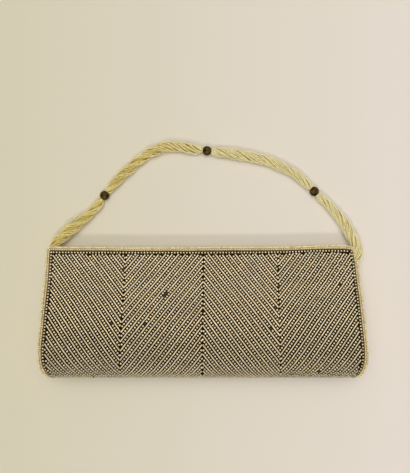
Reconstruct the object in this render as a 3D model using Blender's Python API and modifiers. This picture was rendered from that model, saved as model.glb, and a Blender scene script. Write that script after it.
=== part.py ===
"""A beaded baguette evening bag with a rope handle, lying on its back.

Metres, +Z up. X runs across the bag, +Y from the base to the mouth and +Z out of the front. The
origin is under the middle of the bag, on the surface that it lies on.

Front and rear are sandwiches of beaded cloth, board and lining that follow one rounded path in
the YZ plane: down the front from the mouth, round the base and up the back.
"""

import math

import bmesh
import bpy
import numpy as np
from mathutils import Vector

MM = 0.001
FIT = 0.3 * MM  # gap between pieces that touch
WELD_REACH = 0.001 * MM  # closer points of a turned piece become one

# The body's outline
MOUTH_WIDTH = 244 * MM
WIDEST = 250 * MM
BODY_HEIGHT = 100 * MM
SIDE_CORNER_HEIGHT = 20 * MM  # the lower corners round off below this height
SIDE_CORNER_INSET = 5.5 * MM  # how much they take off each side at the base

# The path in the YZ plane
MOUTH_DEPTH = 18 * MM
CORNER_DEPTH = 44 * MM  # where the front's slope would meet the base plane
LIP_HEIGHT = 24 * MM  # the part of the front that lies parallel to the back
LIP_BEND_RADIUS = 40 * MM
FRONT_CORNER_RADIUS = 14 * MM
BACK_CORNER_RADIUS = 12 * MM
PATH_STEP = 13 * MM  # the longest straight piece of the path
ARC_STEP = math.radians(16)

# The layers of a panel, from outside in
COVER_THICKNESS = 1.8 * MM
BOARD_THICKNESS = 1.0 * MM
LINING_THICKNESS = 0.5 * MM
BOARD_DEPTH = COVER_THICKNESS + FIT
LINING_DEPTH = BOARD_DEPTH + BOARD_THICKNESS + FIT
PANEL_THICKNESS = LINING_DEPTH + LINING_THICKNESS

# The beaded bindings round the panels' edges
TOP_BINDING_WIDTH = 4.2 * MM
SIDE_BINDING_WIDTH = 4.5 * MM
BINDING_EDGE = 1.0 * MM  # how thick a binding is where it wraps the panel's edge

# The gussets, a folded sheet and its lining at each end
GUSSET_THICKNESS = 0.8 * MM
GUSSET_LINING_THICKNESS = 0.4 * MM
GUSSET_INSET = 1.6 * MM  # from the panels' side edges
GUSSET_TOP_GAP = 0.8 * MM
MOUTH_FOLD_DEPTH = 15 * MM
BASE_FOLD_DEPTH = 2 * MM
GUSSET_COLUMNS = 12

# The magnetic snap and the leather patches under its halves
SNAP_DIAMETER = 13 * MM
SNAP_BELOW_MOUTH = 9.5 * MM
SNAP_NUB_DIAMETER = 6 * MM
SNAP_NUB_LENGTH = 2.2 * MM
SNAP_RECESS_CLEARANCE = 0.5 * MM
SNAP_RIM = 0.5 * MM
STUD_SHARE = 0.3  # of the room between the patches
PATCH_WIDTH = 22 * MM
PATCH_HEIGHT = 15 * MM
PATCH_THICKNESS = 0.8 * MM
PATCH_ROUNDING = 3 * MM

# The slip pocket on the back lining
POCKET_WIDTH = 130 * MM
POCKET_ABOVE_BASE = 26 * MM
POCKET_THICKNESS = 0.5 * MM
POCKET_ROUNDING = 6 * MM
HEM_BELOW_PATCH = 0.7 * MM
HEM_HEIGHT = 4 * MM
HEM_THICKNESS = 1.0 * MM

# The rope handle
ROPE_RADIUS = 4.2 * MM
ROPE_END_RADIUS = 2.9 * MM  # where it goes in between the panels
ROPE_SHOULDER_RADIUS = 3.7 * MM  # where it passes outside the right corner
ROPE_CORE_RADIUS = 2.0 * MM  # where it passes through an accent bead
ROPE_END_TAPER = 12 * MM
ROPE_BEAD_TAPER = 7 * MM
ROPE_STRAIGHT_SHARE = 0.4  # of the drawn-in length, straight through the bead
ROPE_STEP = 9 * MM
ROPE_END_STEP = 4 * MM
ACCENT_RADIUS = 3.8 * MM
WHIPPING_LENGTH = 5 * MM
WHIPPING_TIP_RADIUS = 1.6 * MM
ROUND_STEPS = 16

# The rope's route, from its left end to its right end, as (x, y, z)
ROPE_ROUTE = [
    (-119.4 * MM, 41.5 * MM, 9.0 * MM),
    (-118.2 * MM, 47.5 * MM, 9.0 * MM),
    (-115.1 * MM, 53.5 * MM, 9.0 * MM),
    (-107.5 * MM, 61.3 * MM, 7.6 * MM),
    (-98.4 * MM, 70.1 * MM, 5.4 * MM),
    (-89.0 * MM, 80.0 * MM, 4.4 * MM),
    (-79.7 * MM, 90.4 * MM, 4.25 * MM),
    (-62.7 * MM, 109.8 * MM, 4.25 * MM),
    (-45.2 * MM, 124.1 * MM, 4.25 * MM),
    (-29.4 * MM, 129.6 * MM, 4.25 * MM),
    (-15.1 * MM, 128.2 * MM, 4.25 * MM),
    (1.6 * MM, 125.8 * MM, 4.25 * MM),
    (20.6 * MM, 122.6 * MM, 4.25 * MM),
    (38.1 * MM, 119.3 * MM, 4.25 * MM),
    (55.9 * MM, 113.5 * MM, 4.25 * MM),
    (73.8 * MM, 103.9 * MM, 4.25 * MM),
    (86.7 * MM, 93.6 * MM, 4.25 * MM),
    (98.4 * MM, 81.2 * MM, 4.5 * MM),
    (109.1 * MM, 67.7 * MM, 6.0 * MM),
    (115.6 * MM, 57.9 * MM, 8.2 * MM),
    (118.3 * MM, 53.5 * MM, 9.0 * MM),
    (121.8 * MM, 47.4 * MM, 9.0 * MM),
    (124.2 * MM, 39.5 * MM, 9.0 * MM),
    (122.6 * MM, 33.4 * MM, 9.0 * MM),
    (118.2 * MM, 29.8 * MM, 9.0 * MM),
]
JOIN_STOPS = {"left": 2, "right": 20}  # the points where the swinging part starts and ends
ACCENT_STOPS = {"left": 6, "middle": 11, "right": 16}  # the points that carry a bead

# The line that the handle swings about, across the mouth
HANDLE_AXIS_OUT = 6 * MM
HANDLE_AXIS_DROP = 3 * MM

COLOURS = {  # base colour, roughness, metallic
    "beaded_cloth": ((0.46, 0.41, 0.32), 0.35, 0.0),
    "cream_beads": ((0.78, 0.71, 0.55), 0.3, 0.0),
    "gusset_cloth": ((0.72, 0.65, 0.50), 0.5, 0.0),
    "board": ((0.60, 0.56, 0.50), 0.9, 0.0),
    "lining_satin": ((0.76, 0.70, 0.58), 0.45, 0.0),
    "snap_metal": ((0.72, 0.66, 0.52), 0.3, 1.0),
    "patch_leather": ((0.70, 0.62, 0.48), 0.6, 0.0),
    "rope_beads": ((0.74, 0.68, 0.46), 0.35, 0.0),
    "whipping_thread": ((0.80, 0.74, 0.60), 0.7, 0.0),
    "dark_bead": ((0.09, 0.05, 0.03), 0.2, 0.0),
}


# Objects and materials


def clear_scene():
    for item in list(bpy.data.objects):
        bpy.data.objects.remove(item, do_unlink=True)


def material(name):
    """The part's material of that name, made once."""
    made = bpy.data.materials.get(name)
    if made is None:
        colour, roughness, metallic = COLOURS[name]
        made = bpy.data.materials.new(name)
        made.use_nodes = True
        shader = made.node_tree.nodes["Principled BSDF"]
        shader.inputs["Base Color"].default_value = (*colour, 1)
        shader.inputs["Roughness"].default_value = roughness
        shader.inputs["Metallic"].default_value = metallic
    return made


def add_object(name, data, finish):
    """Links data to the bag's collection as an object with that finish."""
    item = bpy.data.objects.new(name, data)
    item.data.materials.append(material(finish))
    bpy.data.collections["baguette_bag"].objects.link(item)
    return item


def mesh_from(form, name):
    """A mesh from a bmesh, which is freed."""
    mesh = bpy.data.meshes.new(name)
    form.to_mesh(mesh)
    form.free()
    return mesh


def carry(name, place, items, parent=None):
    """An empty on a joint's axis, and what it carries, which stays where it is."""
    empty = bpy.data.objects.new(name, None)
    bpy.data.collections["baguette_bag"].objects.link(empty)
    empty.location = place
    if parent is not None:
        empty.parent = parent
        empty.location -= parent.location
    for item in items:
        item.parent = empty
        item.location -= Vector(place)
    return empty


# The shapes that the pieces share


def half_width(y):
    """Half the body's width at a height: straight sides, then elliptic lower corners."""
    above = y + BODY_HEIGHT / 2 - SIDE_CORNER_HEIGHT
    if above >= 0:
        return (WIDEST + (MOUTH_WIDTH - WIDEST) * above / (BODY_HEIGHT - SIDE_CORNER_HEIGHT)) / 2
    drop = min(1, -above / SIDE_CORNER_HEIGHT)
    return WIDEST / 2 - SIDE_CORNER_INSET * (1 - math.sqrt(1 - drop * drop))


def rounded_path(corners):
    """A path of straight runs and the arcs that round its corners, each (y, z, radius).

    Returns rows of (distance, y, z, normal y, normal z), and the distances at which each arc
    starts and ends. The normal points to the right of the way along the path, out of the bag.
    """
    points = [np.array(corner[:2]) for corner in corners]
    ways = [(b - a) / np.linalg.norm(b - a) for a, b in zip(points, points[1:])]
    rows, bends = [], []

    def add(place, way):
        gone = rows[-1][0] + np.linalg.norm(place - rows[-1][1:3]) if rows else 0
        rows.append(np.array([gone, *place, way[1], -way[0]]))

    def run_to(place, way):
        start = rows[-1][1:3]
        pieces = max(1, math.ceil(np.linalg.norm(place - start) / PATH_STEP))
        for k in range(1, pieces + 1):
            add(start + (place - start) * k / pieces, way)

    add(points[0], ways[0])
    for place, corner, before, after in zip(points[1:], corners[1:], ways, ways[1:]):
        turn = math.atan2(before[0] * after[1] - before[1] * after[0], before @ after)
        run_to(place - before * corner[2] * math.tan(abs(turn) / 2), before)
        begun = rows[-1]
        outward = math.copysign(corner[2], turn)
        centre = begun[1:3] - begun[3:5] * outward
        heading = math.atan2(before[1], before[0])
        steps = math.ceil(abs(turn) / ARC_STEP)
        for k in range(1, steps + 1):
            angle = heading + turn * k / steps
            way = np.array([math.cos(angle), math.sin(angle)])
            add(centre + np.array([way[1], -way[0]]) * outward, way)
        bends.append((begun[0], rows[-1][0]))
    run_to(points[-1], ways[-1])
    return np.array(rows), bends


def stretch(path, start, end):
    """The path's rows between two distances along it."""
    stops = [start, *(at for at in path[:, 0] if start + FIT < at < end - FIT), end]
    return np.stack([np.interp(stops, path[:, 0], path[:, k]) for k in range(5)], axis=1)


def at_depth(rows, depth):
    """The y and z of the points that lie that deep inside the rows."""
    return rows[:, 1] - depth * rows[:, 3], rows[:, 2] - depth * rows[:, 4]


def height_at(rows, depth, y):
    """The z at y of the surface that lies that deep inside the rows."""
    inner_y, inner_z = at_depth(rows, depth)
    order = np.argsort(inner_y)
    return float(np.interp(y, inner_y[order], inner_z[order]))


def grid_sheet(name, columns, last_row, place, thickness, centred, finish):
    """A sheet of that thickness through place(share across, row), from a grid and Solidify."""
    form = bmesh.new()
    bmesh.ops.create_grid(form, x_segments=columns, y_segments=last_row, size=0.5)
    for corner in form.verts:
        corner.co = place(corner.co.x + 0.5, round((0.5 - corner.co.y) * last_row))
    item = add_object(name, mesh_from(form, name), finish)
    solid = item.modifiers.new("Thickness", "SOLIDIFY")
    solid.thickness = thickness
    solid.offset = 0 if centred else -1
    solid.use_even_offset = True
    return item


def panel_sheet(name, rows, inset, depth, thickness, finish):
    """A layer of a panel along the rows, its outer face that deep and its side edges inset."""
    y, z = at_depth(rows, depth)

    def place(across, row):
        return (2 * across - 1) * (half_width(rows[row, 1]) - inset), y[row], z[row]

    return grid_sheet(name, 4, len(rows) - 1, place, thickness, False, finish)


def lofted(name, sections, finish):
    """A closed solid through sections, each the same number of points in the same order."""
    form = bmesh.new()
    rings = [[form.verts.new(point) for point in section] for section in sections]
    for ring, following in zip(rings, rings[1:]):
        for k in range(len(ring)):
            form.faces.new((ring[k - 1], ring[k], following[k], following[k - 1]))
    form.faces.new(rings[0])
    form.faces.new(rings[-1])
    bmesh.ops.recalc_face_normals(form, faces=form.faces)
    return add_object(name, mesh_from(form, name), finish)


def turned(name, profile, finish, closed=False):
    """A profile of (radius, height), from top to bottom, turned about its axis."""
    edges = [(k, k + 1) for k in range(len(profile) - 1)]
    if closed:
        edges.append((len(profile) - 1, 0))
    mesh = bpy.data.meshes.new(name)
    mesh.from_pydata([(radius, 0, height) for radius, height in profile], edges, [])
    item = add_object(name, mesh, finish)
    screw = item.modifiers.new("Turn", "SCREW")
    screw.steps = screw.render_steps = ROUND_STEPS
    screw.use_merge_vertices = True
    screw.merge_threshold = WELD_REACH
    screw.use_smooth_shade = True
    return item


def slab(name, low, high, rounding, finish):
    """A box between two corners, with its upright edges rounded."""
    form = bmesh.new()
    bmesh.ops.create_cube(form, size=1)
    for corner in form.verts:
        corner.co = [
            (a + b) / 2 + (b - a) * share for a, b, share in zip(low, high, corner.co)
        ]
    upright = [e for e in form.edges if abs(e.verts[0].co.z - e.verts[1].co.z) > FIT]
    if rounding:
        bmesh.ops.bevel(
            form, geom=upright, offset=rounding, segments=3, profile=0.5, affect="EDGES"
        )
    return add_object(name, mesh_from(form, name), finish)


# The panels


def binding_outline(width):
    """(inset, depth) corners of a binding: a strip on the face that wraps round the edge."""
    return [
        (0, 0),
        (width, 0),
        (width, COVER_THICKNESS),
        (BINDING_EDGE, COVER_THICKNESS),
        (BINDING_EDGE, PANEL_THICKNESS),
        (0, PANEL_THICKNESS),
    ]


def side_binding(name, rows, side):
    outline = binding_outline(SIDE_BINDING_WIDTH)
    sections = [
        [
            (side * (half_width(y) - inset), y - depth * normal_y, z - depth * normal_z)
            for inset, depth in outline
        ]
        for _, y, z, normal_y, normal_z in rows
    ]
    return lofted(name, sections, "cream_beads")


def top_binding(name, row):
    """The strip along a panel's mouth edge, from that end row of the path."""
    _, y, z, _, normal_z = row
    outline = binding_outline(TOP_BINDING_WIDTH)
    sections = [
        [(side * half_width(y - down), y - down, z - depth * normal_z) for down, depth in outline]
        for side in (-1, 1)
    ]
    return lofted(name, sections, "cream_beads")


def bound_edges(half, covered, row):
    """The bindings of the front or rear half, along its cover's rows and its mouth row."""
    return [
        side_binding(f"{half}_side_binding_left", covered, -1),
        side_binding(f"{half}_side_binding_right", covered, 1),
        top_binding(f"{half}_top_binding", row),
    ]


def cover_inset():
    return SIDE_BINDING_WIDTH + FIT


def make_front(path, bends):
    """The front, from the mouth to the seam where it folds, at the end of its corner."""
    seam = bends[1][1] - FIT / 2
    wrapped = BINDING_EDGE + FIT
    covered = stretch(path, TOP_BINDING_WIDTH + FIT, seam)
    boarded = stretch(path, wrapped, bends[1][0])
    lined = stretch(path, wrapped, seam)
    return [
        panel_sheet(
            "front_beaded_cover", covered, cover_inset(), 0, COVER_THICKNESS, "beaded_cloth"
        ),
        panel_sheet("front_board", boarded, wrapped, BOARD_DEPTH, BOARD_THICKNESS, "board"),
        panel_sheet(
            "front_lining", lined, wrapped, LINING_DEPTH, LINING_THICKNESS, "lining_satin"
        ),
        *bound_edges("front", covered, path[0]),
    ]


def make_rear(path, bends):
    """The base and the back, which stay still."""
    seam = bends[1][1] + FIT / 2
    end = path[-1, 0]
    wrapped = BINDING_EDGE + FIT
    covered = stretch(path, seam, end - TOP_BINDING_WIDTH - FIT)
    based = stretch(path, seam, bends[2][0])
    backed = stretch(path, bends[2][1], end - wrapped)
    lined = stretch(path, seam, end - wrapped)
    panel_sheet("rear_beaded_cover", covered, cover_inset(), 0, COVER_THICKNESS, "beaded_cloth")
    panel_sheet("base_board", based, wrapped, BOARD_DEPTH, BOARD_THICKNESS, "board")
    panel_sheet("back_board", backed, wrapped, BOARD_DEPTH, BOARD_THICKNESS, "board")
    panel_sheet("rear_lining", lined, wrapped, LINING_DEPTH, LINING_THICKNESS, "lining_satin")
    bound_edges("rear", covered, path[-1])


def make_gusset(word, side, path, bends):
    """A gusset and its lining: half-elliptic folds between the panels, deepest at the mouth."""
    seam = bends[1][1]
    front, rear = stretch(path, 0, seam), stretch(path, seam, path[-1, 0])
    fold_end = path[np.searchsorted(path[:, 0], bends[1][0]), 1]
    top = BODY_HEIGHT / 2 - GUSSET_TOP_GAP

    def fold_sheet(name, thickness, under, apart, finish):
        middle = PANEL_THICKNESS + under + thickness / 2
        levels = at_depth(front, middle)[0]
        lowest = middle + FIT - BODY_HEIGHT / 2
        levels = [top, *(y for y in levels if lowest + FIT < y < top - FIT), lowest]

        def place(across, row):
            # a point on the fold's ellipse, moved out by apart along the ellipse's normal
            y = levels[row]
            high, low = height_at(front, middle, y), height_at(rear, middle, y)
            share = min(1, max(0, (y - fold_end) / (top - fold_end)))
            fold = BASE_FOLD_DEPTH + (MOUTH_FOLD_DEPTH - BASE_FOLD_DEPTH) * share
            tall = (high - low) / 2 - apart
            across_way = math.sin(math.pi * across)
            up_way = -math.cos(math.pi * across) * side
            steep = math.hypot(tall * across_way, fold * up_way)
            return (
                side * (half_width(y) - GUSSET_INSET - across_way * (fold + apart * tall / steep)),
                y,
                (high + low) / 2 + up_way * (tall + apart * fold / steep),
            )

        grid_sheet(name, GUSSET_COLUMNS, len(levels) - 1, place, thickness, True, finish)

    fold_sheet(f"gusset_{word}", GUSSET_THICKNESS, GUSSET_LINING_THICKNESS + 2 * FIT, 0,
               "gusset_cloth")
    fold_sheet(f"gusset_lining_{word}", GUSSET_LINING_THICKNESS, FIT,
               (GUSSET_THICKNESS + GUSSET_LINING_THICKNESS) / 2 + FIT, "lining_satin")


# The snap and the pocket


def make_snap():
    """The magnetic snap on its patches. Returns the half and the patch on the front."""
    y = BODY_HEIGHT / 2 - SNAP_BELOW_MOUTH
    wide, high = PATCH_WIDTH / 2, PATCH_HEIGHT / 2
    low_patch = PANEL_THICKNESS + FIT
    high_patch = MOUTH_DEPTH - low_patch
    slab("snap_socket_patch", (-wide, y - high, low_patch),
         (wide, y + high, low_patch + PATCH_THICKNESS), PATCH_ROUNDING, "patch_leather")
    patch = slab("snap_stud_patch", (-wide, y - high, high_patch - PATCH_THICKNESS),
                 (wide, y + high, high_patch), PATCH_ROUNDING, "patch_leather")

    socket_seat = low_patch + PATCH_THICKNESS + FIT
    stud_seat = high_patch - PATCH_THICKNESS - FIT
    room = stud_seat - socket_seat - FIT
    plate, thick = room * STUD_SHARE, room * (1 - STUD_SHARE)
    radius, nub = SNAP_DIAMETER / 2, SNAP_NUB_DIAMETER / 2
    recess = nub + SNAP_RECESS_CLEARANCE
    floor = thick - SNAP_NUB_LENGTH - SNAP_RECESS_CLEARANCE
    socket = turned(
        "snap_socket",
        [(0, floor), (recess, floor), (recess, thick), (radius - SNAP_RIM, thick),
         (radius, thick - SNAP_RIM), (radius, 0), (0, 0)],
        "snap_metal",
    )
    socket.location = (0, y, socket_seat)
    stud = turned(
        "snap_stud",
        [(0, plate), (radius, plate), (radius, SNAP_RIM), (radius - SNAP_RIM, 0), (nub, 0),
         (nub, -SNAP_NUB_LENGTH), (0, -SNAP_NUB_LENGTH)],
        "snap_metal",
    )
    stud.location = (0, y, stud_seat - plate)
    return [stud, patch]


def make_pocket():
    """The slip pocket on the back lining, its hemmed mouth just below the snap's patch."""
    base, wide = POCKET_ABOVE_BASE - BODY_HEIGHT / 2, POCKET_WIDTH / 2
    seat = PANEL_THICKNESS + FIT
    mouth = BODY_HEIGHT / 2 - SNAP_BELOW_MOUTH - PATCH_HEIGHT / 2 - HEM_BELOW_PATCH
    hem = mouth - HEM_HEIGHT
    slab("pocket_panel", (-wide, base, seat), (wide, hem - FIT, seat + POCKET_THICKNESS),
         POCKET_ROUNDING, "lining_satin")
    slab("pocket_hem", (-wide, hem, seat), (wide, mouth, seat + HEM_THICKNESS), 0,
         "lining_satin")


# The handle


def smooth_line(stops, step):
    """Points about a step apart on a smooth curve through stops, and each point's distance.

    The curve is cubic between stops, with each stop's direction taken across its neighbours.
    Also returns the distance at each stop.
    """
    stops = np.array(stops)
    gaps = np.linalg.norm(np.diff(stops, axis=0), axis=1)
    at = np.concatenate([[0], np.cumsum(gaps)])
    slopes = np.gradient(stops, at, axis=0)
    line = [stops[0]]
    marks = [0]
    for k, gap in enumerate(gaps):
        pieces = max(1, round(gap / step))
        for j in range(1, pieces + 1):
            t = j / pieces
            line.append(
                (1 + 2 * t) * (1 - t) ** 2 * stops[k]
                + t * t * (3 - 2 * t) * stops[k + 1]
                + t * (1 - t) ** 2 * gap * slopes[k]
                + t * t * (t - 1) * gap * slopes[k + 1]
            )
        marks.append(len(line) - 1)
    line = np.array(line)
    gone = np.concatenate([[0], np.cumsum(np.linalg.norm(np.diff(line, axis=0), axis=1))])
    return line, gone, gone[marks]


def tube(name, line, radii, finish):
    """A round tube along a line, with its own radius at each point."""
    curve = bpy.data.curves.new(name, "CURVE")
    curve.dimensions = "3D"
    curve.bevel_depth = ROPE_RADIUS
    curve.bevel_resolution = 2
    curve.use_fill_caps = True
    spline = curve.splines.new("POLY")
    spline.points.add(len(line) - 1)
    for point, place, radius in zip(spline.points, line, radii):
        point.co = (*place, 1)
        point.radius = radius / ROPE_RADIUS
    return add_object(name, curve, finish)


def eased(share):
    """0 to 1, starting and ending gently."""
    share = min(1, max(0, share))
    return share * share * (3 - 2 * share)


def make_accent_bead(word, centre, way):
    """A round bead with the hole that the rope's core runs through."""
    bore = ROPE_CORE_RADIUS + FIT
    rim = math.asin(bore / ACCENT_RADIUS)
    steps = ROUND_STEPS // 2
    angles = [rim + (math.pi - 2 * rim) * k / steps for k in range(steps + 1)]
    profile = [(ACCENT_RADIUS * math.sin(a), ACCENT_RADIUS * math.cos(a)) for a in angles]
    bead = turned(f"accent_bead_{word}", profile, "dark_bead", closed=True)
    bead.rotation_mode = "QUATERNION"
    bead.rotation_quaternion = Vector(way).to_track_quat("Z", "Y")
    bead.location = centre
    return bead


def make_rope():
    """The rope, drawn in where it runs through the accent beads, in three pieces.

    Returns the swinging part with its beads, and the two ends with the threads that bind them.
    """
    line, gone, marks = smooth_line(ROPE_ROUTE, FIT)
    flare = ACCENT_RADIUS + ROPE_BEAD_TAPER
    straight = ROPE_STRAIGHT_SHARE * flare
    joins = [marks[stop] for stop in JOIN_STOPS.values()]

    def place_at(distance):
        return np.array([np.interp(distance, gone, line[:, k]) for k in range(3)])

    def way_at(distance, reach):
        way = place_at(distance + reach) - place_at(distance - reach)
        return way / np.linalg.norm(way)

    beads = [(marks[stop], way_at(marks[stop], straight)) for stop in ACCENT_STOPS.values()]

    def cut(start, end, step):
        near = min(ROPE_END_STEP / 2, (end - start) / 3)
        count = max(1, round((end - start - 2 * near) / step))
        evenly = [start + near + (end - start - 2 * near) * k / count for k in range(count + 1)]
        return [start, *evenly, end]

    distances = [
        at
        for at in cut(joins[0] + FIT / 2, joins[1] - FIT / 2, ROPE_STEP)
        if min(abs(at - mark) for mark, _ in beads) > flare + FIT
    ]
    shares = (-1, -0.7, -ROPE_STRAIGHT_SHARE, ROPE_STRAIGHT_SHARE, 0.7, 1)
    distances = sorted(distances + [mark + flare * share for mark, _ in beads for share in shares])
    places, radii = [], []
    for at in distances:
        mark, way = min(beads, key=lambda bead: abs(at - bead[0]))
        beading = eased((abs(at - mark) - straight) / (flare - straight))
        ending = eased(min(at - joins[0], joins[1] - at) / ROPE_END_TAPER)
        outer = ROPE_END_RADIUS + (ROPE_RADIUS - ROPE_END_RADIUS) * ending
        places.append(place_at(mark) + way * (at - mark) if beading == 0 else place_at(at))
        radii.append(ROPE_CORE_RADIUS + (outer - ROPE_CORE_RADIUS) * beading)
    swinging = [tube("handle_rope", places, radii, "rope_beads")]
    for word, (mark, way) in zip(ACCENT_STOPS, beads):
        swinging.append(make_accent_bead(word, place_at(mark), way))

    ends = []
    for word, start, end, bulge in (
        ("left", joins[0] - FIT / 2, 0, 0),
        ("right", joins[1] + FIT / 2, gone[-1], ROPE_SHOULDER_RADIUS - ROPE_END_RADIUS),
    ):
        shares = [at / abs(end - start) for at in cut(0, abs(end - start), ROPE_END_STEP)]
        places = [place_at(start + (end - start) * share) for share in shares]
        radii = [ROPE_END_RADIUS + bulge * math.sin(math.pi * share) for share in shares]
        ends.append(tube(f"handle_rope_end_{word}", places, radii, "rope_beads"))
        ends.append(make_whipping(word, places[-1], places[-1] - places[-2]))
    return swinging, ends


def make_whipping(word, place, way):
    """The thread bound round one end of the rope, tapered to where it is stitched down."""
    name = f"handle_whipping_{word}"
    form = bmesh.new()
    bmesh.ops.create_cone(
        form,
        cap_ends=True,
        segments=ROUND_STEPS,
        radius1=ROPE_END_RADIUS,
        radius2=WHIPPING_TIP_RADIUS,
        depth=WHIPPING_LENGTH,
    )
    whipping = add_object(name, mesh_from(form, name), "whipping_thread")
    way = Vector(way).normalized()
    whipping.rotation_mode = "QUATERNION"
    whipping.rotation_quaternion = way.to_track_quat("Z", "Y")
    whipping.location = Vector(place) + way * (FIT + WHIPPING_LENGTH / 2)
    return whipping


def make_bag():
    clear_scene()
    bag = bpy.data.collections.new("baguette_bag")
    bpy.context.scene.collection.children.link(bag)
    top, base = BODY_HEIGHT / 2, -BODY_HEIGHT / 2
    path, bends = rounded_path(
        [
            (top, MOUTH_DEPTH, 0),
            (top - LIP_HEIGHT, MOUTH_DEPTH, LIP_BEND_RADIUS),
            (base, CORNER_DEPTH, FRONT_CORNER_RADIUS),
            (base, 0, BACK_CORNER_RADIUS),
            (top, 0, 0),
        ]
    )
    make_rear(path, bends)
    for word, side in (("left", -1), ("right", 1)):
        make_gusset(word, side, path, bends)
    make_pocket()
    swinging, ends = make_rope()
    opening = [*make_front(path, bends), *make_snap(), *ends]
    seam = path[np.searchsorted(path[:, 0], bends[1][1])]
    front_fold = carry("front_fold", (0, seam[1], seam[2]), opening)
    carry(
        "handle_pivot",
        (0, top + HANDLE_AXIS_OUT, MOUTH_DEPTH - HANDLE_AXIS_DROP),
        swinging,
        front_fold,
    )


make_bag()
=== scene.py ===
# Beaded baguette bag lying on its back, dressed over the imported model
import math
import bpy
import numpy as np
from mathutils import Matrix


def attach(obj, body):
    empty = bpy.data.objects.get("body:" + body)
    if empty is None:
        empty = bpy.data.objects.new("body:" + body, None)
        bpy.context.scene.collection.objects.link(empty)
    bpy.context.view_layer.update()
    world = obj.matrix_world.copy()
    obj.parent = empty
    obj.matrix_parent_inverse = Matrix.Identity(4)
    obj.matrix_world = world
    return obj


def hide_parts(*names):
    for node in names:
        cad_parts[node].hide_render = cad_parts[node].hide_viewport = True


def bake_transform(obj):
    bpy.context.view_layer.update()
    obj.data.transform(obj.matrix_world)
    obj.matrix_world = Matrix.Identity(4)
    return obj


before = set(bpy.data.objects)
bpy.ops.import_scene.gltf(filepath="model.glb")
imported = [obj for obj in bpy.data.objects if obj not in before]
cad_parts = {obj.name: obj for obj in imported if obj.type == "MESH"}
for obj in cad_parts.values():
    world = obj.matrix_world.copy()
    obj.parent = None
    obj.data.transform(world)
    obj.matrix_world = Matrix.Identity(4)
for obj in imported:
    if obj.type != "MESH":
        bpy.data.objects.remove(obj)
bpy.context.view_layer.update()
mm = 0.001
dice = np.random.default_rng(1927)
print("frame loaded:", len(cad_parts), "nodes")


def linked(name, data):
    thing = bpy.data.objects.new(name, data)
    bpy.context.scene.collection.objects.link(thing)
    return thing


# Materials. Every finish reads Object coordinates or the piece's own tone attribute.

texture = {"beadScale": 900, "clothScale": 160, "detail": 3, "grainDetail": 5,  # of the noise
           "waver": 0.6, "weaveBump": 0.5, "grainBump": 0.4, "roughSpread": 0.2}


def feed(node, inputs):
    # an input takes a plain value, or a link where the value is another node's output
    for socket, value in inputs.items():
        if isinstance(value, bpy.types.NodeSocket):
            node.id_data.links.new(value, node.inputs[socket])
        else:
            node.inputs[socket].default_value = value
    return node


def addNode(tree, kind, inputs, **settings):
    node = tree.nodes.new("ShaderNode" + kind)
    for key, value in settings.items():
        setattr(node, key, value)
    return feed(node, inputs)


def maths(tree, operation, first, second):
    return addNode(tree, "Math", {0: first, 1: second}, operation=operation).outputs[0]


def objectPlace(tree):
    return addNode(tree, "TexCoord", {}).outputs["Object"]


def noise(tree, scale, detail):
    return addNode(tree, "TexNoise", {"Vector": objectPlace(tree), "Scale": scale,
                                      "Detail": detail}).outputs["Fac"]


def colourRamp(tree, source, stops):
    # a blend between two colours, each with its place
    ramp = addNode(tree, "ValToRGB", {"Fac": source})
    for element, (place, colour) in zip(ramp.color_ramp.elements, stops):
        element.position = place
        element.color = (*colour, 1)
    return ramp.outputs["Color"]


def bump(tree, height, strength, distance):
    return addNode(tree, "Bump", {"Height": height, "Strength": strength,
                                  "Distance": distance}).outputs["Normal"]


def newFinish(name, rough, metal=0.0, sheen=0.0, specular=0.5, tint=(1, 1, 1)):
    # a material with its plain values; its colour comes from the nodes that are fed in later
    finish = bpy.data.materials.new(name)
    finish.use_nodes = True
    tree = finish.node_tree
    shader = feed(tree.nodes["Principled BSDF"], {
        "Roughness": rough, "Metallic": metal, "Sheen Weight": sheen,
        "Specular IOR Level": specular, "Specular Tint": (*tint, 1)})
    return finish, tree, shader


def beadFinish(name, rough, mottle, specular, tint):
    # glass beads: each bead's own tone, mottled a little by fine noise
    finish, tree, shader = newFinish(name, rough, specular=specular, tint=tint)
    tone = addNode(tree, "Attribute", {}, attribute_name="tone").outputs["Color"]
    fleck = noise(tree, texture["beadScale"], texture["detail"])
    shade = colourRamp(tree, fleck, [(0.3, (1 - mottle,) * 3), (0.7, (1, 1, 1))])
    mixed = addNode(tree, "Mix", {}, data_type="RGBA", blend_type="MULTIPLY")
    feed(mixed, {"Factor": 1, "A": tone, "B": shade})
    feed(shader, {"Base Color": mixed.outputs["Result"]})
    return finish


def clothFinish(name, dark, light, scale, rough, sheen, depth, specular=0.5):
    # woven cloth: two crossed waves make the threads, and noise varies their colour
    finish, tree, shader = newFinish(name, rough, sheen=sheen, specular=specular)
    cloud = noise(tree, texture["clothScale"], texture["detail"])
    threads = [addNode(tree, "TexWave", {"Vector": objectPlace(tree), "Scale": scale,
                                         "Distortion": texture["waver"]},
                       bands_direction=way).outputs["Fac"] for way in ("X", "Y")]
    weave = maths(tree, "MULTIPLY", *threads)
    feed(shader, {"Base Color": colourRamp(tree, cloud, [(0.3, dark), (0.7, light)]),
                  "Normal": bump(tree, weave, texture["weaveBump"], depth)})
    return finish


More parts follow.
